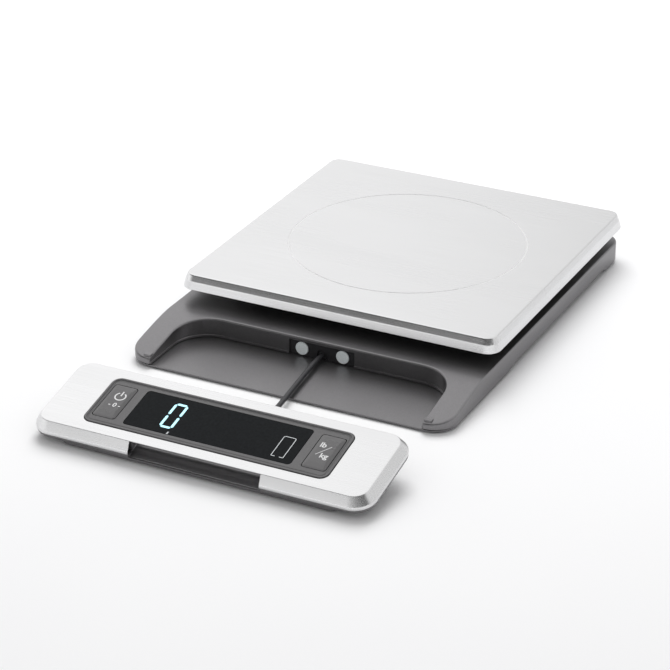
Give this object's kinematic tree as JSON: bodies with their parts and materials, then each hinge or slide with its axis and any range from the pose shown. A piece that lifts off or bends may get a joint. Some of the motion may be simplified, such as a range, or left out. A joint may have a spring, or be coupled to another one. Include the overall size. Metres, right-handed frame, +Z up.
{
  "type": "kitchen scale",
  "caption": "Flat digital kitchen scale with a square brushed-steel platter and a slanted display bar that pulls out of a bay in its base on a thin cable.",
  "frame": {"origin": "bottom centre of the object with its display pulled out, on the surface it stands on", "axes": "+X right as the user sees it, +Y towards the back, +Z up"},
  "size_m": [0.204, 0.3665, 0.03],
  "materials": {
    "platter_steel": "fine brushed",
    "display_steel": "fine brushed",
    "charcoal_plastic": "satin metallic charcoal",
    "black_plastic": "fine matt texture",
    "bezel_plastic": "satin",
    "button_plastic": "satin, printed legends",
    "lens_black": "polished",
    "cable_rubber": "smooth",
    "foot_rubber": "matt",
    "magnet_nickel": "satin nickel",
    "zinc_steel": "zinc plated",
    "load_cell_aluminium": "milled",
    "board_green": "solder mask",
    "battery_wrap": "plain printed wrap"
  },
  "bodies": {
    "base": {"base_upper_housing": "charcoal_plastic", "base_bottom_cover": "charcoal_plastic", "magnet_panel": "black_plastic", "magnet_left": "magnet_nickel", "magnet_right": "magnet_nickel", "cable_guide": "cable_rubber", "cable": "cable_rubber", "load_cell": "load_cell_aluminium", "load_cell_mount": "zinc_steel", "main_board": "board_green", "battery_tray": "black_plastic", "battery_contact_left": "zinc_steel", "battery_contact_right": "zinc_steel", "battery_1": "battery_wrap", "battery_2": "battery_wrap", "battery_3": "battery_wrap", "battery_4": "battery_wrap", "foot_1": "foot_rubber", "foot_2": "foot_rubber", "foot_3": "foot_rubber", "foot_4": "foot_rubber", "base_screw_1": "zinc_steel", "base_screw_2": "zinc_steel", "base_screw_3": "zinc_steel", "base_screw_4": "zinc_steel", "cell_screw_1": "zinc_steel", "cell_screw_2": "zinc_steel"},
    "carrier": {"platform_carrier": "black_plastic", "platform_spacer": "load_cell_aluminium", "platter_pad_1": "foot_rubber", "platter_pad_2": "foot_rubber", "platter_pad_3": "foot_rubber", "platter_pad_4": "foot_rubber", "platform_screw_1": "zinc_steel", "platform_screw_2": "zinc_steel"},
    "platter": {"platter": "platter_steel"},
    "display": {"display_cover": "display_steel", "display_housing": "charcoal_plastic", "display_bezel": "bezel_plastic", "display_lens": "lens_black", "display_board": "board_green", "led_module": "black_plastic", "power_switch": "zinc_steel", "unit_switch": "zinc_steel", "strike_plate_left": "zinc_steel", "strike_plate_right": "zinc_steel", "cable_strain_relief": "cable_rubber", "cover_screw_1": "zinc_steel", "cover_screw_2": "zinc_steel", "cover_screw_3": "zinc_steel", "cover_screw_4": "zinc_steel", "display_foot_1": "foot_rubber", "display_foot_2": "foot_rubber", "display_foot_3": "foot_rubber", "display_foot_4": "foot_rubber"},
    "power_button": {"power_button": "button_plastic"},
    "unit_button": {"unit_button": "button_plastic"},
    "battery_door": {"battery_door": "charcoal_plastic"}
  },
  "joints": [
    {"name": "display_slide", "type": "slide", "parent": "base", "child": "display", "axis": [0, 0.9993, 0.0384], "range_m": [0, 0.1], "deforming": ["cable"]},
    {"name": "weighing_travel", "type": "slide", "parent": "base", "child": "carrier", "axis": [0, 0, -1], "range_m": [0, 0.0005], "stiffness_N_per_m": 40000, "springref_m": -0.00015},
    {"name": "platter_lift_off", "type": "slide", "parent": "carrier", "child": "platter", "axis": [0, 0, 1], "range_m": [0, 0.06]},
    {"name": "power_button_press", "type": "slide", "parent": "display", "child": "power_button", "axis": [0, 0.2079, -0.9781], "range_m": [0, 0.0007], "stiffness_N_per_m": 800, "springref_m": -0.0005},
    {"name": "unit_button_press", "type": "slide", "parent": "display", "child": "unit_button", "axis": [0, 0.2079, -0.9781], "range_m": [0, 0.0007], "stiffness_N_per_m": 800, "springref_m": -0.0005},
    {"name": "battery_door_hinge", "type": "hinge", "parent": "base", "child": "battery_door", "pos_m": [0.048, 0.1493, 0.0014], "axis": [1, 0, 0], "range_deg": [0, 95]}
  ]
}
